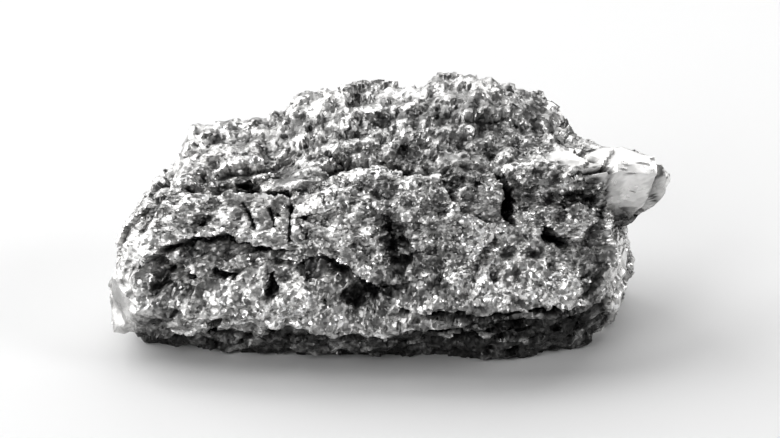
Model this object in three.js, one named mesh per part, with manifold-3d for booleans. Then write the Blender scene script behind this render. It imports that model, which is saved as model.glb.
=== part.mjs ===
// A broken piece of beryllium metal: a loaf-shaped lump of stacked crystal layers, as one solid.
// The surface is a grid of rays from a spine inside the piece. Each ray ends where it leaves the outermost
// of a few flat-sided blocks, moved in or out there by hollows, by the layers' edges and by flat facets.
// Millimetres, +X along the length, +Y to the back, +Z up, origin under the middle of the box.
import * as THREE from "three";
import { mergeVertices } from "three/addons/utils/BufferGeometryUtils.js";
import Module from "manifold-3d";

const wasm = await Module();
wasm.setup();

// Driving dimensions
const LENGTH = 50;
const DEPTH = 26;
const HEIGHT = 20.5;

// The rays: where the middle of their spine is, how many run around and along the piece, and how far
// they stray from an even grid. They leave square to an ellipsoid as long, deep and high as the piece.
const MIDDLE = new THREE.Vector3(0, 0, 8.6);
const SPINE = (LENGTH ** 2 - DEPTH ** 2) / LENGTH / 2;
const COLUMNS = 56;
const ROWS = 80;
const RAY_JITTER = 0.3;

// The corners of the blocks that the piece is made up of. The foot reaches below the underside.
const BLOCKS = {
  foot: [
    [-19.5, -4.5, -3], [-9, -7.4, -3], [8, -7.8, -3], [16, -5, -3],
    [19.5, 4, -3], [12, 11, -3], [-9, 12, -3], [-19.5, 6, -3],
    [-22.4, -6.4, 4.6], [-9, -11, 5], [9, -11.4, 5], [19.5, -7.5, 5],
    [21.4, 5, 4], [12, 12.4, 4], [-10, 13, 4], [-21.6, 5, 4],
  ],
  loaf: [
    [-25, -5.5, 5.4], [-24, -5.9, 7.6], [-22, -9, 7.8], [-21.6, -10, 5.6], [-23.8, -8, 2.8],
    [-23, 1, 3], [-22.2, -2, 8], [-20.9, 1, 11.4], [-20.2, 4, 11.5],
    [-21.3, -7, 9.3], [-19.2, -6, 11.4], [-19, -3.5, 14], [-19.5, -9.5, 8],
    [-17, -11.2, 5.6], [-8, -12.8, 5.2], [4, -13, 5.1], [14, -12, 5.4], [18.5, -9.5, 6],
    [-6, -11, 9], [6, -11, 8.6], [15, -10.3, 8.4], [20, -7.5, 9],
    [-9, -4, 14.8], [-3, -4.2, 16.6], [2, -4.2, 16.4], [20.3, -4.5, 12],
    [20.6, 1, 5], [20.9, 3, 11], [21, 6, 11], [19, 9, 6], [-19, 9, 9], [-18, 9, 4],
    [0, 12.6, 3.6], [-10, 12.6, 8], [4, 13, 8], [14, 12, 9], [-8, 10.5, 14], [14, 10, 15],
  ],
  top: [
    [-9, 2, 17], [-8, 8, 18.2], [-3, -1.5, 17.4], [7, -2, 16.6], [13, -1, 15.4],
    [17.5, 4, 15.8], [-4, 2.5, 19.2], [8, 2, 19.2], [0, 7.5, 20.4], [9, 7.5, 20.2],
    [13.6, 7.5, 19.1], [16.4, 6, 17.3], [4, 11.5, 16.5], [14, 10.6, 14.5], [-7, 11, 15.5],
  ],
  shoulder: [
    [-19.6, 2.6, 13.2], [-18.5, -1.5, 14.5], [-10, -1.5, 15.5], [-16.8, 6, 15.8],
    [-11, 5.5, 16.4], [-16, 10, 13], [-8, 11, 14],
  ],
  tooth: [
    [19.2, -2.9, 13], [23.1, -2.7, 12.8], [23, -2.5, 15.4], [19.4, -2.7, 16],
    [20.8, 1.2, 17], [23, -0.4, 15.9], [21, 4, 15], [23, 4, 12],
  ],
  tip: [
    [25, -0.8, 13.4], [24.2, -1.2, 12.4], [24.5, -0.9, 14.8], [23.6, -0.2, 15.4],
    [24.6, 2.5, 13], [23.5, 4.5, 11],
  ],
  toothRoot: [
    [13, -3.6, 14.4], [14, -2, 16.4], [18.6, -2.2, 16.3], [14.5, 1, 17.3],
    [20, 0.6, 17.1], [13, 6, 17], [17.5, 4, 16.6],
  ],
};

// Every block also holds the spine, with this much room around its ends.
const SPINE_ROOM = 1.5;

// Hollows in the skin: the middle, the half-sizes and how deep each one goes. A swelling's depth is negative.
const HOLLOWS = {
  groove: { at: [0.6, -8.2, 11.4], half: [1.8, 3.6, 3.6], deep: 1.3 },
  pit: { at: [15.2, -6.2, 10.9], half: [1.7, 2, 1.2], deep: 2.4 },
  notch: { at: [-10, 1.5, 17], half: [2.2, 4, 2.2], deep: 1.2 },
  fan: { at: [-2.2, -12.2, 7.4], half: [2.8, 3.5, 1.9], deep: 1.5 },
  upperSwelling: { at: [-3, -6.5, 13.2], half: [6, 4.5, 3.4], deep: -1.1 },
  leftSwelling: { at: [-13, -11, 6.6], half: [9, 4.5, 2.8], deep: -1.2 },
  rightSwelling: { at: [9, -11.5, 6.8], half: [9, 4.5, 2.8], deep: -0.9 },
  boss: { at: [-6.3, -11.8, 8.2], half: [2.4, 3, 2], deep: -0.8 },
};

// Ledges lie on the front, in a view of it from this angle above level: across to the right, and up from a
// line on the floor this far in front of the middle. The front fades out over a narrow band of rays.
const VIEW_ANGLE = THREE.MathUtils.degToRad(28);
const VIEW_FOOT = 11;
const VIEWER = new THREE.Vector3(0, -Math.cos(VIEW_ANGLE), Math.sin(VIEW_ANGLE));
const FRONT = { start: 0.6, rise: 4 };

// Ledges: the lip, how deep the skin falls away on its right-hand side, and how far the fall reaches.
const LEDGES = {
  shoulder: { lip: [[-18.3, 17.2], [-15.5, 18], [-12.6, 19.1], [-7.3, 20.2]], deep: 0.9, reach: 1.8 },
  shelf: { lip: [[-8.2, 16.4], [-13.4, 16.2], [-16.7, 16.6], [-19.5, 15.9]], deep: 1.2, reach: 0.8 },
  overhang: { lip: [[-23, 9], [-19.4, 11.6], [-14.1, 12.3], [-8, 11]], deep: 1.5, reach: 2.2 },
  leftLip: { lip: [[-21.4, 8.4], [-19.4, 9.4], [-16.6, 8.6]], deep: 1.2, reach: 1.4 },
  arc: { lip: [[-8.6, 8.8], [-7.6, 9.9], [-5.6, 9.6], [-2.1, 7.9], [0.2, 6.4]], deep: 1.2, reach: 1.4 },
  crest: {
    lip: [[12.4, 12.9], [7, 14.6], [4.3, 17.2], [0.9, 18.7], [-2.8, 18.4], [-7.6, 16.6]],
    deep: 1.6,
    reach: 1.5,
  },
};

// Layers: their thickness, the share they dip by to the right and lean by to the front, the height and
// lengths of their waves, how far one stands out from the next in all and at its upper edge, and the share
// of that which the front has lost.
const LAYER = {
  thick: 3.1,
  dip: 0.07,
  lean: -0.14,
  wave: 0.7,
  waveX: 6.3,
  waveY: 4.1,
  step: 0.8,
  lip: 0.6,
  worn: 0.6,
};

// Facets, from large to small: flat cells lying along the layers, the height of the waves that they
// follow and of their own steps. Waves are a few cells long and run in random directions.
const FACETS = [
  { cell: [5.6, 4.8, 3.2], height: 0.5, step: 0.6 },
  { cell: [2.6, 2.4, 1.7], height: 0.3, step: 0.3 },
];
const WAVES = { count: 9, cells: 3.5, shortest: 0.7, spread: 0.6 };

// Repeatable scatter: the mixing factors, and the seeds of the rays, the layers and the facets.
const MIX = [127.1, 311.7, 74.7, 12.9898];
const MIX_SPREAD = 43758.5453;
const SEED = { rays: 9, layers: 11, facets: 20 };

// A repeatable number from 0 to 1 for each set of whole numbers.
function chance(...numbers) {
  const mixed = Math.sin(numbers.reduce((sum, n, i) => sum + n * MIX[i], 1)) * MIX_SPREAD;
  return mixed - Math.floor(mixed);
}

const vector = (numbers) => new THREE.Vector3(...numbers);

// The spine's two ends, with the room around them.
const AXES = [[1, 0, 0], [0, 1, 0], [0, 0, 1]].map(vector);
const spine = [SPINE, -SPINE].flatMap((x) =>
  AXES.flatMap((axis) =>
    [SPINE_ROOM, -SPINE_ROOM].map((room) => {
      const end = new THREE.Vector3(x, 0, 0).add(MIDDLE);
      return end.addScaledVector(axis, room);
    }),
  ),
);

// A block's flat sides: every plane through three corners that has all other corners behind it.
function flatsOf(corners) {
  const points = [...corners.map(vector), ...spine];
  const flats = [];
  for (let i = 0; i < points.length; i++)
    for (let j = i + 1; j < points.length; j++)
      for (let k = j + 1; k < points.length; k++) {
        const plane = new THREE.Plane().setFromCoplanarPoints(points[i], points[j], points[k]);
        if (plane.distanceToPoint(MIDDLE) > 0) plane.negate();
        if (points.every((point) => plane.distanceToPoint(point) < 1e-6)) flats.push(plane);
      }
  return flats;
}
const blocks = Object.values(BLOCKS).map(flatsOf);

// How far a ray runs from its start before it leaves a block.
function leaves(flats, start, direction) {
  let far = Infinity;
  for (const plane of flats) {
    const slope = plane.normal.dot(direction);
    if (slope > 0) far = Math.min(far, -plane.distanceToPoint(start) / slope);
  }
  return far;
}

// How far the hollows are sunk at a point: each is deepest in its middle and ends in a smooth rim.
function hollowDepth(point) {
  let depth = 0;
  for (const { at, half, deep } of Object.values(HOLLOWS)) {
    const away = point.clone().sub(vector(at)).divide(vector(half));
    depth += deep * Math.max(0, 1 - away.lengthSq()) ** 2;
  }
  return depth;
}

// How far the layers stand out at a point: a step for each layer, growing to a lip at its upper edge.
function layerHeight({ x, y, z }) {
  const wave = LAYER.wave * (Math.sin(x / LAYER.waveX) + Math.sin(y / LAYER.waveY));
  const level = (z + LAYER.dip * x + LAYER.lean * y + wave) / LAYER.thick;
  const layer = Math.floor(level);
  return LAYER.step * (chance(layer, 0, 0, SEED.layers) - 0.5) + LAYER.lip * (level - layer - 0.5);
}

// How far the ledges are sunk at a point: deepest beside the lip, on its right-hand side, and less towards
// the lip's ends.
function ledgeDepth(point) {
  const up = point.z * Math.cos(VIEW_ANGLE) + (point.y + VIEW_FOOT) * Math.sin(VIEW_ANGLE);
  const place = new THREE.Vector2(point.x, up);
  let depth = 0;
  for (const { lip, deep, reach } of Object.values(LEDGES)) {
    const corners = lip.map(([x, y]) => new THREE.Vector2(x, y));
    const runs = corners.slice(1).map((corner, i) => corner.clone().sub(corners[i]));
    const whole = runs.reduce((sum, run) => sum + run.length(), 0);
    let gap = Infinity;
    let side = 0;
    let share = 0;
    let before = 0;
    runs.forEach((run, i) => {
      const away = place.clone().sub(corners[i]);
      const along = THREE.MathUtils.clamp(away.dot(run) / run.lengthSq(), 0, 1);
      const distance = away.clone().addScaledVector(run, -along).length();
      if (distance < gap) {
        gap = distance;
        side = run.cross(away);
        share = (before + along * run.length()) / whole;
      }
      before += run.length();
    });
    if (side < 0) depth += deep * (1 - (2 * share - 1) ** 4) * Math.exp(-gap / reach);
  }
  return depth;
}

// A smooth random height and its slope: a sum of sine waves that run in random directions.
function waveField(point, seed) {
  let value = 0;
  const slope = new THREE.Vector3();
  for (let n = 0; n < WAVES.count; n++) {
    const [turn, lift, length, shift] = [0, 1, 2, 3].map((m) => chance(n, m, 0, seed));
    const rise = 2 * lift - 1;
    const level = Math.sqrt(1 - rise ** 2);
    const angle = 2 * Math.PI * turn;
    const heading = new THREE.Vector3(level * Math.cos(angle), level * Math.sin(angle), rise);
    heading.multiplyScalar(((2 * Math.PI) / WAVES.cells) * (WAVES.shortest + WAVES.spread * length));
    const phase = heading.dot(point) + 2 * Math.PI * shift;
    value += Math.sin(phase) / Math.sqrt(WAVES.count);
    slope.addScaledVector(heading, Math.cos(phase) / Math.sqrt(WAVES.count));
  }
  return { value, slope };
}

// How far the facets stand out at a point: the waves, made flat in every cell, and the cell's own step.
// Each cell of an even grid has one middle, and the 27 cells around the point are searched.
function facetHeight(point, { cell, height, step }, seed) {
  const p = point.clone().divide(vector(cell));
  const [ci, cj, ck] = p.toArray().map(Math.floor);
  let nearest = Infinity;
  let middle;
  let index;
  for (let n = 0; n < 27; n++) {
    const here = [ci + (n % 3) - 1, cj + (Math.floor(n / 3) % 3) - 1, ck + Math.floor(n / 9) - 1];
    const at = vector(here.map((corner, m) => corner + chance(...here, seed + m + 1)));
    const distance = at.distanceToSquared(p);
    if (distance >= nearest) continue;
    nearest = distance;
    middle = at;
    index = here;
  }
  const { value, slope } = waveField(middle, seed);
  return height * (value + slope.dot(p.sub(middle))) + step * (chance(...index, seed + 4) - 0.5);
}

// The grid of rays is a ball with its poles at the piece's two ends.
function bare(geometry) {
  geometry.deleteAttribute("normal");
  geometry.deleteAttribute("uv");
  return mergeVertices(geometry);
}
const surface = bare(new THREE.SphereGeometry(1, COLUMNS, ROWS).rotateZ(-Math.PI / 2));
const extent = new THREE.Vector3(LENGTH, DEPTH, HEIGHT);
const stray = (RAY_JITTER * Math.PI) / ROWS;
const place = surface.attributes.position;
for (let v = 0; v < place.count; v++) {
  const shift = [1, 2, 3].map((m) => stray * (chance(v, m, 0, SEED.rays) - 0.5));
  const point = new THREE.Vector3().fromBufferAttribute(place, v).add(vector(shift));
  const start = new THREE.Vector3(SPINE * point.x, 0, 0).add(MIDDLE);
  const direction = point.divide(extent).normalize();
  let far = Math.max(...blocks.map((flats) => leaves(flats, start, direction)));
  const end = () => start.clone().addScaledVector(direction, far);
  const front = THREE.MathUtils.clamp(FRONT.start + FRONT.rise * direction.dot(VIEWER), 0, 1);
  const skin = end();
  far += layerHeight(skin) * (1 - LAYER.worn * front) - hollowDepth(skin) - front * ledgeDepth(skin);
  FACETS.forEach((facet, i) => {
    far += facetHeight(end(), facet, SEED.facets * (i + 1));
  });
  place.setXYZ(v, ...end().toArray());
}

// A level cut gives the piece its flat underside.
function solidOf(geometry) {
  return new wasm.Manifold(
    new wasm.Mesh({
      numProp: 3,
      vertProperties: geometry.attributes.position.array,
      triVerts: new Uint32Array(geometry.index.array),
    }),
  );
}
const below = bare(new THREE.BoxGeometry(2 * LENGTH, 2 * DEPTH, HEIGHT).translate(0, 0, -HEIGHT / 2));
const lump = solidOf(surface).subtract(solidOf(below)).getMesh();

// The box is brought to the driving dimensions, with the origin under its middle.
const geometry = new THREE.BufferGeometry();
geometry.setAttribute("position", new THREE.BufferAttribute(lump.vertProperties, 3));
geometry.setIndex(new THREE.BufferAttribute(lump.triVerts, 1));
geometry.computeBoundingBox();
const box = geometry.boundingBox;
const size = box.getSize(new THREE.Vector3());
geometry.translate(-(box.min.x + box.max.x) / 2, -(box.min.y + box.max.y) / 2, -box.min.z);
geometry.scale(LENGTH / size.x, DEPTH / size.y, HEIGHT / size.z);
geometry.computeVertexNormals();

const metal = new THREE.MeshStandardMaterial({ color: 0x9c9b99, metalness: 1, roughness: 0.35 });
const piece = new THREE.Mesh(geometry, metal);
piece.name = "metal_piece";

const part = new THREE.Group();
part.add(piece);
export default part;
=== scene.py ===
"""A broken piece of beryllium metal on a pale floor.

One lump of silvery metal, shaped like a small loaf: stacked crystal layers with ledges and an undercut
foot, a toothed right end, cracks and hollows, and a skin of small flat crystal facets that glint one by
one. Lengths inside the surface functions are millimetres, and meshes are metres.
"""

import itertools
import math
from collections import namedtuple

import bpy
import numpy as np
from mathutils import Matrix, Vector


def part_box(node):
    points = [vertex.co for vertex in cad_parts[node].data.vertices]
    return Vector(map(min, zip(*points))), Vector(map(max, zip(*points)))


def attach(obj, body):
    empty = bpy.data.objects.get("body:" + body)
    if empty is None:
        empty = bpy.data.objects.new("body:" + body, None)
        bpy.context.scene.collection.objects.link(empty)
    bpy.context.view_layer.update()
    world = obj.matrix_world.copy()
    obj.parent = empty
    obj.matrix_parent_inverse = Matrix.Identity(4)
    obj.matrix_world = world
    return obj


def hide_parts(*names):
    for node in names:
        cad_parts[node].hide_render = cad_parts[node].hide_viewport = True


bl_info = {
    "name": "Beryllium metal piece",
    "version": (1, 0, 0),
    "blender": (4, 5, 0),
    "location": "3D View > Sidebar > Beryllium",
    "description": "A broken lump of beryllium metal and a plain stage to show it on",
    "category": "Object",
}

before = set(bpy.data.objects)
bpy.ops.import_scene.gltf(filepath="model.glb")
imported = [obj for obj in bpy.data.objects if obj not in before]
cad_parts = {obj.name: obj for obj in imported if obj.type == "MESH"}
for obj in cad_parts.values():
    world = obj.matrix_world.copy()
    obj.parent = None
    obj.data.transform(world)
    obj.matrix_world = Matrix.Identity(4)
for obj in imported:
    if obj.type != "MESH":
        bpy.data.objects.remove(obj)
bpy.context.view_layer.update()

NODE = "metal_piece"
MM = 0.001

LOW, HIGH = (np.array(corner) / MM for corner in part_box(NODE))
LENGTH, DEPTH, HEIGHT = HIGH - LOW

# The rays that the surface is worked out on: the middle of their spine, half its length, and the room that
# every block leaves around its ends. Rays are drawn together in mid-length and towards the front, which is
# this far round from the back.
MIDDLE = np.array([0.0, 0.0, 8.6])
SPINE = (LENGTH ** 2 - DEPTH ** 2) / LENGTH / 2
SPINE_ROOM = 1.5
ROW_PULL = 0.22
FRONT_PULL = 0.55
FRONT_TURN = math.radians(152)

# Corners nearer to a plane than this lie on it, rays with less slope than this run along it, and a normal
# is never taken to be shorter than this.
ON_PLANE = 1e-6
NO_SLOPE = 1e-9
SHORTEST_NORMAL = 1e-12

# The corners of the blocks that the piece is made up of. The foot reaches below the underside.
BLOCKS = {
    "foot": [
        (-19.5, -4.5, -3), (-9, -7.4, -3), (8, -7.8, -3), (16, -5, -3),
        (19.5, 4, -3), (12, 11, -3), (-9, 12, -3), (-19.5, 6, -3),
        (-22.4, -6.4, 4.6), (-9, -11, 5), (9, -11.4, 5), (19.5, -7.5, 5),
        (21.4, 5, 4), (12, 12.4, 4), (-10, 13, 4), (-21.6, 5, 4),
    ],
    "loaf": [
        (-25, -5.5, 5.4), (-24, -5.9, 7.6), (-22, -9, 7.8), (-21.6, -10, 5.6), (-23.8, -8, 2.8),
        (-23, 1, 3), (-22.2, -2, 8), (-20.9, 1, 11.4), (-20.2, 4, 11.5),
        (-21.3, -7, 9.3), (-19.2, -6, 11.4), (-19, -3.5, 14), (-19.5, -9.5, 8),
        (-17, -11.2, 5.6), (-8, -12.8, 5.2), (4, -13, 5.1), (14, -12, 5.4), (18.5, -9.5, 6),
        (-6, -11, 9), (6, -11, 8.6), (15, -10.3, 8.4), (20, -7.5, 9),
        (-9, -4, 14.8), (-3, -4.2, 16.6), (2, -4.2, 16.4), (20.3, -4.5, 12),
        (20.6, 1, 5), (20.9, 3, 11), (21, 6, 11), (19, 9, 6), (-19, 9, 9), (-18, 9, 4),
        (0, 12.6, 3.6), (-10, 12.6, 8), (4, 13, 8), (14, 12, 9), (-8, 10.5, 14), (14, 10, 15),
    ],
    "top": [
        (-9, 2, 17), (-8, 8, 18.2), (-3, -1.5, 17.4), (7, -2, 16.6), (13, -1, 15.4),
        (17.5, 4, 15.8), (-4, 2.5, 19.2), (8, 2, 19.2), (0, 7.5, 20.4), (9, 7.5, 20.2),
        (13.6, 7.5, 19.1), (16.4, 6, 17.3), (4, 11.5, 16.5), (14, 10.6, 14.5), (-7, 11, 15.5),
    ],
    "shoulder": [
        (-19.6, 2.6, 13.2), (-18.5, -1.5, 14.5), (-10, -1.5, 15.5), (-16.8, 6, 15.8),
        (-11, 5.5, 16.4), (-16, 10, 13), (-8, 11, 14),
    ],
    "tooth": [
        (19.2, -2.9, 13), (23.1, -2.7, 12.8), (23, -2.5, 15.4), (19.4, -2.7, 16),
        (20.8, 1.2, 17), (23, -0.4, 15.9), (21, 4, 15), (23, 4, 12),
    ],
    "tip": [
        (25, -0.8, 13.4), (24.2, -1.2, 12.4), (24.5, -0.9, 14.8), (23.6, -0.2, 15.4),
        (24.6, 2.5, 13), (23.5, 4.5, 11),
    ],
    "tooth_root": [
        (13, -3.6, 14.4), (14, -2, 16.4), (18.6, -2.2, 16.3), (14.5, 1, 17.3),
        (20, 0.6, 17.1), (13, 6, 17), (17.5, 4, 16.6),
    ],
}

# Hollows in the skin: the middle, the half-sizes and how deep each one goes. A swelling's depth is negative.
HOLLOWS = {
    "groove": ((0.6, -8.2, 11.4), (1.8, 3.6, 3.6), 1.3),
    "pit": ((15.2, -6.2, 10.9), (1.7, 2, 1.2), 2.4),
    "notch": ((-10, 1.5, 17), (2.2, 4, 2.2), 1.2),
    "fan": ((-2.2, -12.2, 7.4), (2.8, 3.5, 1.9), 1.5),
    "upper_swelling": ((-3, -6.5, 13.2), (6, 4.5, 3.4), -1.1),
    "left_swelling": ((-13, -11, 6.6), (9, 4.5, 2.8), -1.2),
    "right_swelling": ((9, -11.5, 6.8), (9, 4.5, 2.8), -0.9),
    "boss": ((-6.3, -11.8, 8.2), (2.4, 3, 2), -0.8),
}

# Ledges, cracks and zones lie on the front, in the camera's view of it: across to the right, and up from
# a line on the floor this far in front of the middle. The camera looks down at this angle. The front fades
# out over a narrow band of rays.
VIEW_ANGLE = math.radians(28)
VIEW_FOOT = 11.0
VIEWER = (0, -math.cos(VIEW_ANGLE), math.sin(VIEW_ANGLE))
FRONT_START = 0.6
FRONT_RISE = 4

# Ledges and cracks stray from their drawn lines, and grain from its zones, by waves of this height and size.
STRAY = 0.3
STRAY_CELL = 1.5

# Ledges: the lip, how deep the skin falls away on its right-hand side, and how far the fall reaches. The
# last three are the edges of leaves that are too thin for the solid.
LEDGES = {
    "shoulder": ([(-18.3, 17.2), (-15.5, 18), (-12.6, 19.1), (-7.3, 20.2)], 0.9, 1.8),
    "shelf": ([(-8.2, 16.4), (-13.4, 16.2), (-16.7, 16.6), (-19.5, 15.9)], 1.2, 0.8),
    "overhang": ([(-23, 9), (-19.4, 11.6), (-14.1, 12.3), (-8, 11)], 1.5, 2.2),
    "left_lip": ([(-21.4, 8.4), (-19.4, 9.4), (-16.6, 8.6)], 1.2, 1.4),
    "arc": ([(-8.6, 8.8), (-7.6, 9.9), (-5.6, 9.6), (-2.1, 7.9), (0.2, 6.4)], 1.2, 1.4),
    "crest": ([(12.4, 12.9), (7, 14.6), (4.3, 17.2), (0.9, 18.7), (-2.8, 18.4), (-7.6, 16.6)], 1.6, 1.5),
    "upper_leaf": ([(0, 5.2), (6, 5.8), (12, 5.6), (18.4, 6.2)], 0.8, 0.5),
    "middle_leaf": ([(2, 4.3), (9, 4.7), (17, 5)], 0.8, 0.5),
    "lower_leaf": ([(-1, 2.9), (6, 2.6), (13, 2.8)], 0.5, 0.4),
}

# Cracks: the line, how deep it goes, half its width and how much brighter the metal is in it, which is
# painted shade along a groove and a painted highlight along a ridge. A ridge's depth is negative.
Crack = namedtuple("Crack", "line deep half tone", defaults=(-0.7,))
CRACKS = {
    "first_slit": Crack([(-12.6, 15.4), (-12.2, 13)], 0.8, 0.2),
    "second_slit": Crack([(-10.6, 14.7), (-10, 13.2)], 0.7, 0.18),
    "third_slit": Crack([(-8.8, 15.6), (-8.5, 11.8)], 0.9, 0.2),
    "cross_slit": Crack([(-9.9, 14.3), (-8.6, 14)], 0.6, 0.17),
    "shelf_gap": Crack([(-13.4, 16.7), (-11.5, 16.6), (-9.3, 16.6)], 1.5, 0.4),
    "shelf_edge": Crack([(-14.2, 16), (-11.5, 16.1), (-8.8, 16.1)], -0.4, 0.25, 0.8),
    "shelf_hollow": Crack([(-13.2, 17.3), (-11.8, 17)], 0.9, 0.5),
    "shoulder_edge": Crack([(-10.6, 18.7), (-8.3, 19.8)], -0.4, 0.28, 0.8),
    "left_slot": Crack([(-18, 17.3), (-16.4, 17.9)], 0.9, 0.3),
    "left_edge": Crack([(-19.6, 8.7), (-18.6, 9), (-16.8, 8.5)], -0.4, 0.3, 1),
    "left_hollow": Crack([(-19.9, 7.3), (-17.8, 7.1)], 0.6, 0.9, -0.4),
    "low_crack": Crack([(-15.2, 8.8), (-13.4, 8.1)], 0.8, 0.22),
    "low_slot": Crack([(-10.7, 8.7), (-10.3, 7.6), (-10.6, 6.5)], 1, 0.26),
    "low_gap": Crack([(-19, 5.5), (-17.4, 4.8), (-15.4, 4.2)], 0.9, 0.25),
    "crest_crack": Crack([(-5, 19.8), (-2.8, 19.1), (0.9, 19.5), (2.6, 18.2)], 1.2, 0.3),
    "pit": Crack([(13.9, 12.6), (15, 12), (16.4, 11.3)], 2.2, 0.8),
    "right_crack": Crack([(9, 17.8), (10.4, 16.1), (10.9, 13.8)], 1.5, 0.32),
    "tooth_groove": Crack([(15.6, 17.7), (16.6, 18.2), (17.8, 18.1), (19.6, 17.9)], 0.9, 0.3),
    "tooth_edge": Crack([(14.1, 18.5), (15.6, 17.6)], -0.4, 0.3, 0.8),
    "end_ridge": Crack([(19.5, 14.9), (20, 13.2), (20.4, 11.5), (20.1, 9), (19.4, 6)], -0.4, 0.5, 1.6),
    "plane_gap": Crack([(16.6, 20.8), (18.7, 19.1)], 0.6, 0.35),
    "tooth_side": Crack([(19.6, 17.6), (19.3, 16.2), (19.6, 14.9)], 0.4, 0.25),
    "tip_edge": Crack([(22.9, 19.2), (24.3, 17.9), (24.9, 16.9), (24.5, 15.8)], -0.15, 0.35, 0.9),
    "end_foot": Crack([(19.4, 6), (18, 5.2)], -0.3, 0.5, 0.8),
}

# Zones of the front: the middle, the half-sizes, and how much brighter and grainier the metal is there and
# how much of its grain is upright columns or thin leaves. The brightness is mostly painted light: painted
# highlights on faces that would catch the lamps, and painted shade in hollows, grooves, the undercut and on
# faces turned away.
Zone = namedtuple("Zone", "at half tone grain columns leaves", defaults=(0, 0, 0, 0))
ZONES = {
    "tooth": Zone((21.2, 17.6), (6.4, 4.6), grain=-1.5),
    # Painted highlights on the tooth's face, top and two planes; painted shade on its tip and under it; its
    # body darker.
    "tooth_face": Zone((21.5, 16.8), (2.6, 2.2), tone=0.6),
    "tooth_top": Zone((22.8, 19), (3, 1.5), tone=0.8),
    "tooth_tip": Zone((24, 16.4), (1.3, 1.5), tone=-0.9),
    "tooth_shade": Zone((21.2, 14), (2.6, 1.8), tone=-1),
    "left_plane": Zone((15.8, 19.8), (3, 1.7), tone=0.7, grain=-1.2),
    "right_plane": Zone((19.6, 19.7), (2.6, 2.2), tone=0.7, grain=-1.2),
    "tooth_body": Zone((17.2, 16), (3, 2.2), tone=-0.8, grain=0.6, leaves=0.6),
    # Painted highlight on the left flank; painted shade on the left front, low side and undercut; the left
    # end darker.
    "left_end": Zone((-24, 6), (2.6, 4.4), tone=-0.4, grain=-1.4),
    "left_flank": Zone((-21.6, 14), (3, 6.5), tone=0.25, grain=-0.3, leaves=-1),
    "left_front": Zone((-17, 12.4), (2.6, 3.4), tone=-0.4),
    "left_low": Zone((-19, 7), (3, 2), tone=-0.2),
    "left_under": Zone((-20, 4), (3.2, 2), tone=-0.9),
    "slit_face": Zone((-11.5, 14.4), (5, 2.4), grain=-0.7),
    "shoulder_face": Zone((-9.2, 18), (2, 1.8), tone=-0.5, grain=-0.8),
    # Painted shade in the groove and the fan, and on the right side and end; a painted highlight on the end
    # ridge.
    "groove": Zone((0.8, 10.6), (2.8, 5.8), tone=-1, leaves=0.6),
    "fan": Zone((-2.2, 6.2), (3.2, 2.2), tone=-1, columns=1),
    "right_side": Zone((18, 10), (2.6, 5), tone=-0.45, leaves=0.8),
    "end_ridge": Zone((20.1, 10), (1.4, 6), tone=0.3, grain=-1),
    "right_end": Zone((22.4, 9), (2, 7), tone=-0.9, leaves=0.5),
    # Painted highlights on the bright band and the patch to its right.
    "bright_band": Zone((7.4, 10.4), (5.4, 5.4), tone=1, grain=0.5),
    "right_patch": Zone((14.6, 7.8), (3, 2.6), tone=1.1, grain=0.5),
    "top": Zone((3, 22), (13, 4.5), tone=-0.3),
    "top_smooth": Zone((6, 19.4), (4, 2), tone=-0.3, grain=-0.7),
    "top_columns": Zone((8.5, 23), (8, 3.4), columns=1.2),
    "lower_leaves": Zone((9.5, 4.7), (11.5, 2.3), tone=-1.9, leaves=1.4),
    "shelf": Zone((-14, 17.4), (7, 2.4), leaves=0.8),
    # A painted highlight on the lower band.
    "lower_band": Zone((-9, 5), (9, 2.4), tone=0.8, grain=0.4),
    "foot": Zone((2, 0.2), (40, 3.2), leaves=0.8),
}

# Layers: the share they dip by to the right and lean by to the front, their waves, and the share of their
# steps that the front has lost.
LAYER_DIP = 0.07
LAYER_LEAN = -0.14
LAYER_WAVE = 0.7
LAYER_WAVE_LENGTHS = (6.3, 4.1)
LAYER_WORN = 0.6

# Large facets, which the solid has too, and the small ones that only show close by: the cell, the height
# of its waves and of its steps. In some zones the first small ones turn into columns or leaves. The waves
# are a few cells long and run in random directions. Zones can make the small facets this much higher.
LARGE_FACETS = [((5.6, 4.8, 3.2), 0.5, 0.6), ((2.6, 2.4, 1.7), 0.3, 0.3)]
SMALL_FACETS = [((1.3, 1.1, 0.7), 0.19, 0.2), ((0.55, 0.48, 0.36), 0.15, 0.13)]
COLUMNS = ((0.5, 0.6, 2.6), 0.16, 0.2)
LEAVES = ((2.4, 2.0, 0.36), 0.16, 0.24)
WAVES = 9
WAVE_CELLS = 3.5
WAVE_SHORTEST = 0.7
WAVE_SPREAD = 0.6
GRAINIEST = 2

# An edge that gets a painted highlight, or a crevice that gets painted shade, stands this far out of or
# below the surface, made smooth in so many rounds.
RELIEF = 0.35
RELIEF_ROUNDS = 40

# Tones are shares that the metal is brighter by: the foot's painted shade, the random spread among the
# facets of two sizes, and the painted highlight above and painted shade below a ledge's lip. The metal's
# colour is multiplied by one plus the tone, held between these least and greatest values, first for the
# facets and then with the painted edge highlights and crevice shade.
FOOT_PAINTED_SHADE = -0.92
FACET_TONES = (0.6, 1.0)
LIP_PAINTED_HIGHLIGHT = 0.8
LIP_WIDTH = 0.4
LIP_PAINTED_SHADE = 0.2
DARKEST_FACET = 0.1
BRIGHTEST_FACET = 2
BRIGHTEST = 1.8

# The finer of the two crystal sizes in the metal: its share of the coarser one's size and tilt.
FINE_SIZE = 0.45
FINE_TILT = 0.6

# The mean of a random colour, which tilts a crystal neither way.
MIDDLE_GREY = (0.5, 0.5, 0.5)

# Faces that meet at more than this angle have a sharp edge.
SHARP_ANGLE = math.radians(35)

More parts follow.
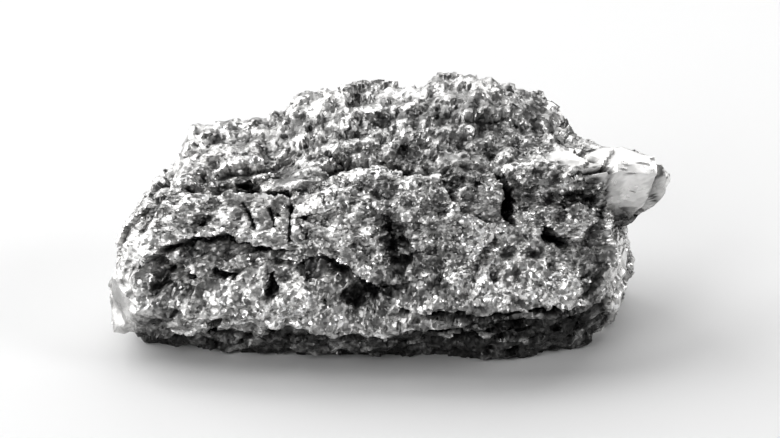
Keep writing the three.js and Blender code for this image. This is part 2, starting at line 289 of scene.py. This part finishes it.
# The stage, in metres: half the floor's width, the size and depth of its mottle and its roughness, the soft
# boxes' places, widths and watts, the surround's grey and strength, and the height that the camera aims at.
FLOOR_HALF = 2.0
FLOOR_MOTTLE_SCALE = 40.0
FLOOR_MOTTLE_LOW = 0.98
FLOOR_ROUGHNESS = 0.7
SOFT_BOXES = {
    "left_box": ((-0.55, 0.25, 0.33), 0.8, 6.6),
    "back_box": ((0.1, 0.6, 0.55), 0.9, 3.8),
    "front_box": ((-0.45, -0.5, 0.45), 0.35, 1.7),
    "right_box": ((0.5, -0.1, 0.35), 0.2, 0.8),
}
SURROUND_GREY = 0.8
SURROUND_STRENGTH = 0.12
AIM_HEIGHT = 0.0095

# Repeatable scatter: the mixing factors, and the seeds of the layers, the facets, their tones and the lines.
MIX = (127.1, 311.7, 74.7, 12.9898)
MIX_SPREAD = 43758.5453
LAYER_SEED = 11
FACET_SEED = 20
TONE_SEED = 200
LINE_SEED = 7


# Surface functions


def chance(*numbers):
    """A repeatable number from 0 to 1 for each set of whole numbers: the fraction of a mixed sine."""
    mixed = np.sin(1 + sum(n * m for n, m in zip(numbers, MIX))) * MIX_SPREAD
    return mixed - np.floor(mixed)


def ray_grid(rows, columns):
    """Rays from the spine, as starts and directions on a grid of rows along and columns around.

    A ball's points (cos t, sin t cos p, sin t sin p) give the starts, SPINE cos t along the length, and
    the directions, the point over the piece's extents, so that rays leave square to an ellipsoid. A sine
    draws the rows together in mid-length and the columns towards the front.
    """
    share = np.arange(1, rows) / rows
    tilt = math.pi * share + ROW_PULL * np.sin(2 * math.pi * share)
    around = 2 * math.pi * np.arange(columns) / columns
    around = around - FRONT_PULL * np.sin(around - FRONT_TURN)
    tilt, around = np.meshgrid(tilt, around, indexing="ij")
    ring = np.sin(tilt)
    point = np.stack([np.cos(tilt), ring * np.cos(around), ring * np.sin(around)], axis=-1)
    poles = np.array([[1.0, 0.0, 0.0], [-1.0, 0.0, 0.0]])
    point = np.concatenate([point.reshape(-1, 3), poles])
    start = MIDDLE + point * [SPINE, 0, 0]
    direction = point / [LENGTH, DEPTH, HEIGHT]
    return start, direction / np.linalg.norm(direction, axis=1, keepdims=True)


def flats_of(corners):
    """A block's flat sides, as normals and distances: the planes through three corners, the spine's
    ends among them, that have all the other corners behind them."""
    room = SPINE_ROOM * np.concatenate([np.eye(3), -np.eye(3)])
    ends = [MIDDLE + [x, 0, 0] + room for x in (SPINE, -SPINE)]
    points = np.concatenate([np.array(corners, float), *ends])
    a, b, c = (points[list(pick)] for pick in zip(*itertools.combinations(range(len(points)), 3)))
    normal = np.cross(b - a, c - a)
    length = np.linalg.norm(normal, axis=1)
    whole = length > ON_PLANE
    normal = normal[whole] / length[whole, None]
    a = a[whole]
    out = (a - MIDDLE) * normal
    normal = np.where(out.sum(axis=1, keepdims=True) < 0, -normal, normal)
    far = (a * normal).sum(axis=1)
    outer = (normal @ points.T - far[:, None]).max(axis=1) < ON_PLANE
    return normal[outer], far[outer]


def way_out(flats, start, direction):
    """How far each ray runs before it leaves a block: the least distance to a side that it heads for."""
    normal, far = flats
    slope = direction @ normal.T
    room = far - start @ normal.T
    return np.where(slope > NO_SLOPE, room / np.maximum(slope, NO_SLOPE), np.inf).min(axis=1)


def hollow_depth(point):
    """How far the hollows are sunk: depth times (1 - r squared) squared, r from 0 to 1 at the rim."""
    depth = np.zeros(len(point))
    for at, half, deep in HOLLOWS.values():
        away = (point - at) / half
        depth += deep * np.maximum(0, 1 - (away ** 2).sum(axis=1)) ** 2
    return depth


def layer_height(point, thick, step, lip):
    """How far the layers stand out: a step for each wavy, dipping layer, growing to a lip at its top."""
    x, y, z = point.T
    wave_x, wave_y = LAYER_WAVE_LENGTHS
    wave = LAYER_WAVE * (np.sin(x / wave_x) + np.sin(y / wave_y))
    level = (z + LAYER_DIP * x + LAYER_LEAN * y + wave) / thick
    layer = np.floor(level)
    return step * (chance(layer, 0, 0, LAYER_SEED) - 0.5) + lip * (level - layer - 0.5)


def wave_field(point, seed):
    """A smooth random height and its slope: a sum of sine waves that run in random directions."""
    pick = [chance(np.arange(WAVES), m, 0, seed) for m in range(4)]
    turn = 2 * math.pi * pick[0]
    rise = 2 * pick[1] - 1
    level = np.sqrt(1 - rise ** 2)
    heading = np.stack([level * np.cos(turn), level * np.sin(turn), rise])
    heading = heading * 2 * math.pi / WAVE_CELLS * (WAVE_SHORTEST + WAVE_SPREAD * pick[2])
    phase = point @ heading + 2 * math.pi * pick[3]
    height = np.sin(phase).sum(axis=1)
    slope = np.cos(phase) @ heading.T
    return height / math.sqrt(WAVES), slope / math.sqrt(WAVES)


def facet_middles(point, cell, seed):
    """The facets that points belong to: each cell of an even grid has one middle at a random place, and the
    nearest middle counts. Points and middles are measured in cells."""
    p = point / cell
    home = np.floor(p)
    nearest = np.full(len(point), np.inf)
    middle = np.zeros_like(p)
    for shift in itertools.product((-1, 0, 1), repeat=3):
        index = home + shift
        at = index + np.stack([chance(*index.T, seed + m) for m in (1, 2, 3)], axis=1)
        distance = ((p - at) ** 2).sum(axis=1)
        closer = distance < nearest
        nearest = np.where(closer, distance, nearest)
        middle = np.where(closer[:, None], at, middle)
    return p, middle


def facet_height(point, facet, seed):
    """How far the facets stand out: waves a few cells long, made flat in every cell. A facet's height is
    that of the plane that touches the waves at its middle, and its own step."""
    cell, height, step = facet
    p, middle = facet_middles(point, cell, seed)
    value, slope = wave_field(middle, seed)
    steps = chance(*np.floor(middle).T, seed + 4) - 0.5
    return height * (value + (slope * (p - middle)).sum(axis=1)) + step * steps


def facet_tone(point, front):
    """How much brighter than the rest each facet is: what the zones give at its middle, mostly painted light
    and shade, and a random share, less where the metal is smooth, for facets of two sizes."""
    share = np.zeros(len(point))
    sizes = (LARGE_FACETS[1], SMALL_FACETS[0])
    for i, ((cell, _, _), spread) in enumerate(zip(sizes, FACET_TONES), 1):
        seed = TONE_SEED * i
        middle = facet_middles(point, cell, seed)[1]
        share += spread * (chance(*np.floor(middle).T, seed + 4) - 0.5)
    tone, grain = front * zone_mix(in_view(middle * cell))[:2]
    return tone + share * np.clip(1 + grain, 0, 1)


def in_view(point):
    """Where points lie in the camera's view of the front: across to the right, and up."""
    up = point[:, 2] * math.cos(VIEW_ANGLE) + (point[:, 1] + VIEW_FOOT) * math.sin(VIEW_ANGLE)
    return np.stack([point[:, 0], up], axis=1)


def line_gap(place, line):
    """The distance of places to a line of straight runs, whether they lie on its right-hand side, and a
    taper that falls to 0 at the line's ends: one less the fourth power of the way from its middle."""
    corners = np.array(line, float)
    runs = np.diff(corners, axis=0)
    lengths = np.linalg.norm(runs, axis=1)
    done = np.concatenate([[0], np.cumsum(lengths)]) / lengths.sum()
    gap = np.full(len(place), np.inf)
    side = np.zeros(len(place))
    share = np.zeros(len(place))
    for corner, run, length, before in zip(corners, runs, lengths, done):
        away = place - corner
        along = np.clip(away @ run / length ** 2, 0, 1)
        distance = np.linalg.norm(away - along[:, None] * run, axis=1)
        closer = distance < gap
        gap = np.where(closer, distance, gap)
        side = np.where(closer, away[:, 0] * run[1] - away[:, 1] * run[0], side)
        share = np.where(closer, before + along * length / lengths.sum(), share)
    return gap, side > 0, 1 - (2 * share - 1) ** 4


def line_effect(place):
    """How far ledges and cracks are sunk, and how much they brighten the metal.

    A ledge's fall fades away from its lip, which gets a painted highlight on its upper side and painted
    shade below. A crack is a groove with painted shade, and a ridge is one turned out with a painted
    highlight.
    """
    depth = np.zeros(len(place))
    tone = np.zeros(len(place))
    for line, deep, reach in LEDGES.values():
        gap, right, taper = line_gap(place, line)
        fall = taper * np.exp(-gap / reach)
        depth += deep * fall * right
        tone += np.where(right, -LIP_PAINTED_SHADE * fall, LIP_PAINTED_HIGHLIGHT * taper * np.exp(-gap / LIP_WIDTH))
    for crack in CRACKS.values():
        groove = np.maximum(0, 1 - (line_gap(place, crack.line)[0] / crack.half) ** 2)
        depth += crack.deep * groove
        tone += crack.tone * groove
    return depth, tone


def zone_mix(place):
    """How bright and grainy the metal is, the brightness mostly painted light and shade, and its share of
    columns and of leaves: the sum of the zones' values times (1 - r squared) squared, r from 0 to 1 at the
    rim."""
    mix = np.zeros((4, len(place)))
    for zone in ZONES.values():
        inside = np.maximum(0, 1 - (((place - zone.at) / zone.half) ** 2).sum(axis=1)) ** 2
        mix += np.outer((zone.tone, zone.grain, zone.columns, zone.leaves), inside)
    return mix


def grid_faces(rows, columns):
    """Four-sided faces between neighbouring rows, and a fan of triangles round each pole."""
    row, column = np.meshgrid(np.arange(rows - 2), np.arange(columns), indexing="ij")
    here = row * columns + column
    beside = row * columns + (column + 1) % columns
    quads = np.stack([here, here + columns, beside + columns, beside], axis=-1).reshape(-1, 4)
    first, last = (rows - 1) * columns, (rows - 1) * columns + 1
    ring = np.arange(columns)
    after = (ring + 1) % columns
    end = (rows - 2) * columns
    caps = [np.stack([np.full(columns, first), ring, after], axis=1)]
    caps.append(np.stack([np.full(columns, last), end + after, end + ring], axis=1))
    return quads, np.concatenate(caps)


def grid_normals(point, rows, columns):
    """Unit normals on the grid: the cross product of the steps along and around, then the two poles."""
    grid = point[: (rows - 1) * columns].reshape(rows - 1, columns, 3)
    poles = point[(rows - 1) * columns :]
    first = np.broadcast_to(poles[0], (1, columns, 3))
    last = np.broadcast_to(poles[1], (1, columns, 3))
    longer = np.concatenate([first, grid, last])
    along = longer[2:] - longer[:-2]
    around = np.roll(grid, -1, axis=1) - np.roll(grid, 1, axis=1)
    normal = np.cross(along, around).reshape(-1, 3)
    normal = np.concatenate([normal, [[1, 0, 0], [-1, 0, 0]]])
    length = np.linalg.norm(normal, axis=1, keepdims=True)
    return normal / np.maximum(length, SHORTEST_NORMAL)


def neighbour_mean(value, rows, columns):
    """The mean of the four neighbours on the grid, for values or points. The poles keep theirs."""
    shape = (rows - 1, columns) + value.shape[1:]
    grid = value[: (rows - 1) * columns].reshape(shape)
    longer = np.concatenate([grid[:1], grid, grid[-1:]])
    sides = np.roll(grid, 1, axis=1) + np.roll(grid, -1, axis=1)
    mean = (longer[2:] + longer[:-2] + sides) / 4
    return np.concatenate([mean.reshape((-1,) + value.shape[1:]), value[(rows - 1) * columns :]])


def grained(point, zones, rising, rows, columns):
    """Points moved along the surface's normals by the small facets, columns and leaves, each by its height
    times its share in the zones and times rising, and how grainy the metal is."""
    _, grain, upright, leafy = zones
    upright, leafy = np.clip([upright, leafy], 0, 1)
    finest = np.clip(1 + grain, 0, GRAINIEST)
    coarse = finest * (1 - upright) * (1 - leafy)
    textures = [(SMALL_FACETS[0], coarse), (COLUMNS, upright), (LEAVES, leafy), (SMALL_FACETS[1], finest)]
    for i, (facet, share) in enumerate(textures, len(LARGE_FACETS) + 1):
        height = rising * share * facet_height(point, facet, FACET_SEED * i)
        point = point + grid_normals(point, rows, columns) * height[:, None]
    return np.maximum(point, (-np.inf, -np.inf, 0)), finest


def painted_edge_and_crevice_light(point, settings):
    """Painted light on the relief: how much brighter edges are, a painted highlight, and how much darker
    crevices are, painted shade: by a point's height over the surface made smooth, as a share of RELIEF."""
    rows, columns = settings.rows, settings.columns
    smooth = point
    for _ in range(RELIEF_ROUNDS):
        smooth = neighbour_mean(smooth, rows, columns)
    sunk = ((smooth - point) * grid_normals(smooth, rows, columns)).sum(axis=1) / RELIEF
    edges = 1 + settings.edge_painted_highlight * np.clip(-sunk, 0, 1)
    crevices = 1 - settings.crevice_painted_shade * np.clip(sunk, 0, 1)
    return edges * crevices


def lump_surface(settings):
    """The lump's points in metres, the brightness of the metal there and how grainy it is, on the rays.

    Each ray ends where it leaves the outermost block, moved by the layers, the hollows, the ledges and the
    large facets, or at the underside. The small facets then move the points along the surface's normals,
    and the whole is brought to the solid's box.
    """
    rows, columns = settings.rows, settings.columns
    start, direction = ray_grid(rows, columns)
    reach = np.stack([way_out(flats_of(corners), start, direction) for corners in BLOCKS.values()])
    far = reach.max(axis=0)
    on_foot = reach.argmax(axis=0) == list(BLOCKS).index("foot")
    point = start + direction * far[:, None]
    front = np.clip(FRONT_START + FRONT_RISE * direction @ VIEWER, 0, 1)
    stray = [STRAY * wave_field(point / STRAY_CELL, LINE_SEED + m)[0] for m in (0, 1)]
    place = in_view(point) + np.stack(stray, axis=1)
    # Ledge lips and cracks add painted highlights and painted shade to the metal.
    sunk, painted_line_light = front * line_effect(place)
    # The front of the foot is darkened with painted shade.
    tone = facet_tone(point, front) + painted_line_light + FOOT_PAINTED_SHADE * front * on_foot
    thick, step, lip = (v / MM for v in (settings.layer_thickness, settings.layer_step, settings.layer_lip))
    far = far + layer_height(point, thick, step, lip) * (1 - LAYER_WORN * front)
    far = far - hollow_depth(point) - sunk
    for i, facet in enumerate(LARGE_FACETS, 1):
        far = far + facet_height(start + direction * far[:, None], facet, FACET_SEED * i)
    fall = direction[:, 2]
    floor = np.where(fall < -NO_SLOPE, -MIDDLE[2] / np.minimum(fall, -NO_SLOPE), np.inf)
    rising = settings.grain_depth * (far < floor)
    point = start + direction * np.minimum(far, floor)[:, None]
    point, grain = grained(point, front * zone_mix(place), rising, rows, columns)
    # The brightness holds the facets' random tone and painted light: the zones', lips', cracks' and foot's
    # painted highlights and shade, and painted edge highlights and crevice shade.
    bright = np.clip(1 + tone, DARKEST_FACET, BRIGHTEST_FACET) * painted_edge_and_crevice_light(point, settings)
    low, high = point.min(axis=0), point.max(axis=0)
    point = LOW + (point - low) * (HIGH - LOW) / (high - low)
    return point * MM, np.minimum(bright, BRIGHTEST), grain


# Materials


def new_material(name):
    """A material with a bare shader, and its node tree and shader."""
    material = bpy.data.materials.new(name)
    material.use_nodes = True
    tree = material.node_tree
    tree.nodes.clear()
    shader = tree.nodes.new("ShaderNodeBsdfPrincipled")
    output = tree.nodes.new("ShaderNodeOutputMaterial")
    tree.links.new(shader.outputs["BSDF"], output.inputs["Surface"])
    return material, tree, shader


def add_node(tree, kind, inputs=None, **fields):
    """A node with its fields set, and each input either linked, if a socket is given, or set."""
    node = tree.nodes.new(kind)
    for name, value in fields.items():
        setattr(node, name, value)
    for name, value in (inputs or {}).items():
        if isinstance(value, bpy.types.NodeSocket):
            tree.links.new(value, node.inputs[name])
        else:
            node.inputs[name].default_value = value
    return node


def vector_node(tree, operation, *values):
    """The result of a vector operation on sockets or constants."""
    return add_node(tree, "ShaderNodeVectorMath", dict(enumerate(values)), operation=operation).outputs[0]


def metal_material(settings):
    """Broken metal: every small crystal has its own tilt, grey and polish. The mesh's "tone" brightens the
    metal and holds painted highlights and painted shade as well as the facets' random tone; its "grain" is
    the strength of the tilt and of the greys."""
    material, tree, shader = new_material("beryllium")
    place = tree.nodes.new("ShaderNodeTexCoord").outputs["Object"]
    tone = add_node(tree, "ShaderNodeAttribute", attribute_name="tone").outputs["Fac"]
    grain = add_node(tree, "ShaderNodeAttribute", attribute_name="grain").outputs["Fac"]
    normal = tree.nodes.new("ShaderNodeNewGeometry").outputs["Normal"]
    for share, tilt in ((1.0, 1.0), (FINE_SIZE, FINE_TILT)):
        scale = 1 / (share * settings.grain_size)
        cells = add_node(tree, "ShaderNodeTexVoronoi", {"Vector": place, "Scale": scale})
        turn = vector_node(tree, "SUBTRACT", cells.outputs["Color"], MIDDLE_GREY)
        amount = {0: grain, 1: tilt * settings.grain_tilt}
        strength = add_node(tree, "ShaderNodeMath", amount, operation="MULTIPLY")
        turn = vector_node(tree, "MULTIPLY", turn, strength.outputs[0])
        normal = vector_node(tree, "NORMALIZE", vector_node(tree, "ADD", turn, normal))
    tree.links.new(normal, shader.inputs["Normal"])
    random = add_node(tree, "ShaderNodeSeparateColor", {"Color": cells.outputs["Color"]})
    polish = {"Value": random.outputs["Red"], "To Min": settings.polish_low, "To Max": settings.polish_high}
    polish = add_node(tree, "ShaderNodeMapRange", polish)
    tree.links.new(polish.outputs["Result"], shader.inputs["Roughness"])
    grey = {"Value": random.outputs["Green"]}
    for end, change in (("To Min", settings.grain_dark), ("To Max", settings.grain_light)):
        amount = {0: grain, 1: change, 2: 1.0}
        grey[end] = add_node(tree, "ShaderNodeMath", amount, operation="MULTIPLY_ADD").outputs[0]
    grey = add_node(tree, "ShaderNodeMapRange", grey)
    colour = vector_node(tree, "MULTIPLY", tuple(settings.metal_colour), grey.outputs["Result"])
    tree.links.new(vector_node(tree, "MULTIPLY", colour, tone), shader.inputs["Base Color"])
    shader.inputs["Metallic"].default_value = 1
    return material


def floor_material(settings):
    """A matt pale sheet with a barely visible mottle."""
    material, tree, shader = new_material("pale_floor")
    place = tree.nodes.new("ShaderNodeTexCoord").outputs["Object"]
    mottle = add_node(tree, "ShaderNodeTexNoise", {"Vector": place, "Scale": FLOOR_MOTTLE_SCALE})
    grey = {"Value": mottle.outputs["Fac"], "To Min": FLOOR_MOTTLE_LOW, "To Max": 1.0}
    grey = add_node(tree, "ShaderNodeMapRange", grey)
    colour = vector_node(tree, "MULTIPLY", tuple(settings.floor_colour), grey.outputs["Result"])
    tree.links.new(colour, shader.inputs["Base Color"])
    shader.inputs["Roughness"].default_value = FLOOR_ROUGHNESS
    return material


# Settings, operators and panel


class LumpSettings(bpy.types.PropertyGroup):
    """Sizes and finish of the metal piece."""

    rows: bpy.props.IntProperty(name="Rows", description="Rays along the length", default=312, min=20)
    columns: bpy.props.IntProperty(name="Columns", description="Rays around the length", default=306, min=20)
    layer_thickness: bpy.props.FloatProperty(
        name="Layer thickness", description="Height of one crystal layer", default=3.1 * MM, unit="LENGTH"
    )
    layer_step: bpy.props.FloatProperty(
        name="Layer step",
        description="How far one layer stands out from the next",
        default=0.8 * MM,
        unit="LENGTH",
    )
    layer_lip: bpy.props.FloatProperty(
        name="Layer lip", description="How far a layer's top overhangs", default=0.6 * MM, unit="LENGTH"
    )
    grain_depth: bpy.props.FloatProperty(
        name="Grain depth", description="Strength of the small facets", default=1.0, subtype="FACTOR"
    )
    grain_size: bpy.props.FloatProperty(
        name="Grain size", description="Size of one glinting crystal", default=0.65 * MM, unit="LENGTH"
    )
    grain_tilt: bpy.props.FloatProperty(name="Grain tilt", description="How far crystals tilt", default=0.55)
    polish_low: bpy.props.FloatProperty(
        name="Polished", description="Roughness of bright grains", default=0.25, subtype="FACTOR"
    )
    polish_high: bpy.props.FloatProperty(
        name="Dull", description="Roughness of dull grains", default=0.5, subtype="FACTOR"
    )
    grain_dark: bpy.props.FloatProperty(
        name="Dark grains", description="Change in grey of the darkest grains", default=-0.55
    )
    grain_light: bpy.props.FloatProperty(
        name="Light grains", description="Change in grey of the lightest grains", default=0.45
    )
    metal_colour: bpy.props.FloatVectorProperty(
        name="Metal", description="Colour of the clean metal", default=(0.48, 0.476, 0.47), subtype="COLOR"
    )
    # Painted highlight: brightens edges that stand out of the smoothed surface.
    edge_painted_highlight: bpy.props.FloatProperty(
        name="Bright edges", description="How much brighter worn edges are", default=0.35, subtype="FACTOR"
    )
    # Painted shade: darkens crevices below the smoothed surface.
    crevice_painted_shade: bpy.props.FloatProperty(
        name="Dark crevices", description="How much darker crevices are", default=0.8, subtype="FACTOR"
    )


class StageSettings(bpy.types.PropertyGroup):
    """Floor, lights and camera."""

    floor_colour: bpy.props.FloatVectorProperty(
        name="Floor", description="Colour of the floor", default=(0.9, 0.9, 0.9), subtype="COLOR"
    )
    elevation: bpy.props.FloatProperty(
        name="Elevation", description="Camera height above level", default=VIEW_ANGLE, subtype="ANGLE"
    )
    distance: bpy.props.FloatProperty(
        name="Distance", description="Camera to the piece", default=0.55, unit="LENGTH"
    )
    view_width: bpy.props.FloatProperty(
        name="View width", description="Width that the view takes in", default=0.0695, unit="LENGTH"
    )
    light: bpy.props.FloatProperty(name="Light", description="Strength of all lights", default=1.0, min=0)


class OBJECT_OT_metal_piece(bpy.types.Operator):
    """Make the lump of beryllium metal in place of its solid"""

    bl_idname = "object.metal_piece"
    bl_label = "Metal piece"

    def execute(self, context):
        settings = context.scene.lump_settings
        point, tone, grain = lump_surface(settings)
        quads, caps = grid_faces(settings.rows, settings.columns)
        mesh = bpy.data.meshes.new("metal_piece_skin")
        mesh.from_pydata(point, [], quads.tolist() + caps.tolist())
        for name, value in (("tone", tone), ("grain", grain)):
            mesh.attributes.new(name, "FLOAT", "POINT").data.foreach_set("value", value)
        mesh.shade_smooth()
        mesh.set_sharp_from_angle(angle=SHARP_ANGLE)
        piece = bpy.data.objects.new("metal_piece_skin", mesh)
        context.scene.collection.objects.link(piece)
        mesh.materials.append(metal_material(settings))
        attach(piece, "root")
        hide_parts(NODE)
        return {"FINISHED"}


class OBJECT_OT_stage(bpy.types.Operator):
    """Make the floor, the soft lights and the camera"""

    bl_idname = "object.metal_stage"
    bl_label = "Stage"

    def execute(self, context):
        settings = context.scene.stage_settings
        make_floor(context, settings)
        make_lights(context, settings)
        make_camera(context, settings)
        return {"FINISHED"}


def make_floor(context, settings):
    """A level square sheet, far wider than the view."""
    corners = [(x * FLOOR_HALF, y * FLOOR_HALF, 0) for x, y in ((-1, -1), (1, -1), (1, 1), (-1, 1))]
    mesh = bpy.data.meshes.new("floor")
    mesh.from_pydata(corners, [], [(0, 1, 2, 3)])
    floor = bpy.data.objects.new("floor", mesh)
    mesh.materials.append(floor_material(settings))
    context.scene.collection.objects.link(floor)


def make_lights(context, settings):
    """Soft boxes at the left, above the back, at the front and at the right, and an even grey surround."""
    target = Vector((0, 0, HEIGHT / 2 * MM))
    for name, (at, size, power) in SOFT_BOXES.items():
        light = bpy.data.lights.new(name, "AREA")
        light.size = size
        light.energy = power * settings.light
        lamp = bpy.data.objects.new(name, light)
        lamp.location = at
        lamp.rotation_euler = (target - lamp.location).to_track_quat("-Z", "Y").to_euler()
        context.scene.collection.objects.link(lamp)
    world = bpy.data.worlds.new("surround")
    world.use_nodes = True
    background = world.node_tree.nodes["Background"]
    background.inputs["Color"].default_value = (SURROUND_GREY, SURROUND_GREY, SURROUND_GREY, 1)
    background.inputs["Strength"].default_value = SURROUND_STRENGTH * settings.light
    context.scene.world = world
    context.scene.view_settings.view_transform = "Standard"


def make_camera(context, settings):
    """A long lens in front of the piece, looking down at the photograph's angle."""
    target = Vector((0, 0, AIM_HEIGHT))
    back = Vector((0, -math.cos(settings.elevation), math.sin(settings.elevation)))
    camera = bpy.data.cameras.new("camera")
    camera.lens = camera.sensor_width * settings.distance / settings.view_width
    shot = bpy.data.objects.new("camera", camera)
    shot.location = target + back * settings.distance
    shot.rotation_euler = (-back).to_track_quat("-Z", "Y").to_euler()
    context.scene.collection.objects.link(shot)
    context.scene.camera = shot


class VIEW3D_PT_beryllium(bpy.types.Panel):
    """Sidebar panel with the piece, the stage and their settings"""

    bl_label = "Beryllium metal piece"
    bl_space_type = "VIEW_3D"
    bl_region_type = "UI"
    bl_category = "Beryllium"

    def draw(self, context):
        for operator, settings in (
            (OBJECT_OT_metal_piece, context.scene.lump_settings),
            (OBJECT_OT_stage, context.scene.stage_settings),
        ):
            self.layout.operator(operator.bl_idname)
            for name in type(settings).__annotations__:
                self.layout.prop(settings, name)


CLASSES = (LumpSettings, StageSettings, OBJECT_OT_metal_piece, OBJECT_OT_stage, VIEW3D_PT_beryllium)


def register():
    """Register the classes and hang the settings on the scene."""
    for cls in CLASSES:
        bpy.utils.register_class(cls)
    bpy.types.Scene.lump_settings = bpy.props.PointerProperty(type=LumpSettings)
    bpy.types.Scene.stage_settings = bpy.props.PointerProperty(type=StageSettings)


def unregister():
    """Undo what register does."""
    del bpy.types.Scene.stage_settings
    del bpy.types.Scene.lump_settings
    for cls in reversed(CLASSES):
        bpy.utils.unregister_class(cls)


def main():
    """Make the piece and its stage."""
    register()
    bpy.ops.object.metal_piece()
    bpy.ops.object.metal_stage()


if __name__ == "__main__":
    main()
